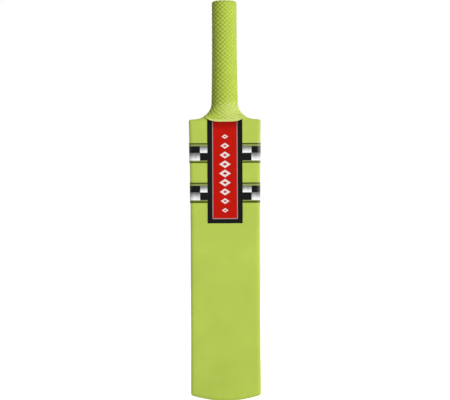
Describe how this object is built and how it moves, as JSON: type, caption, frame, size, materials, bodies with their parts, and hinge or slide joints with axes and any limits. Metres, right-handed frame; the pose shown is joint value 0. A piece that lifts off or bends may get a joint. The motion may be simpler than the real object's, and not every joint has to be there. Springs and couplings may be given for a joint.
{
  "type": "cricket fielding bat",
  "caption": "Short cricket bat for fielding practice: a spliced, rubber-faced lime green blade with stickers and a textured rubber grip flared over its shoulders.",
  "frame": {"origin": "middle of the base of the bounding box, under the handle's axis at the level of the toe", "axes": "+Z from the toe up the blade to the handle, -Y out of the striking face, +X to the right seen from the face"},
  "size_m": [0.1076, 0.0404, 0.6],
  "materials": {
    "willow": "bare willow, hidden under the rubber",
    "face_rubber": "matte lime green rubber sheet",
    "cover_rubber": "matte lime green skin",
    "cane": "bare cane, hidden under the grip",
    "spring_rubber": "black rubber strip between the slabs of cane",
    "twine": "waxed twine whipping",
    "grip_rubber": "matte lime green rubber with a raised diamond pattern",
    "label_vinyl": "red printed vinyl with a black border",
    "check_vinyl": "black and silver checks printed on lime vinyl"
  },
  "bodies": {
    "root": {"blade_core": "willow", "face_sheet": "face_rubber", "back_cover": "cover_rubber", "cane_front_1": "cane", "cane_front_2": "cane", "cane_front_3": "cane", "cane_front_4": "cane", "cane_middle_1": "cane", "cane_middle_2": "cane", "cane_middle_3": "cane", "cane_middle_4": "cane", "cane_back_1": "cane", "cane_back_2": "cane", "cane_back_3": "cane", "cane_back_4": "cane", "spring_front": "spring_rubber", "spring_back": "spring_rubber", "handle_binding": "twine", "grip_sleeve": "grip_rubber", "grip_skirt": "grip_rubber", "face_label": "label_vinyl", "check_upper_left": "check_vinyl", "check_upper_right": "check_vinyl", "check_lower_left": "check_vinyl", "check_lower_right": "check_vinyl"}
  },
  "joints": []
}
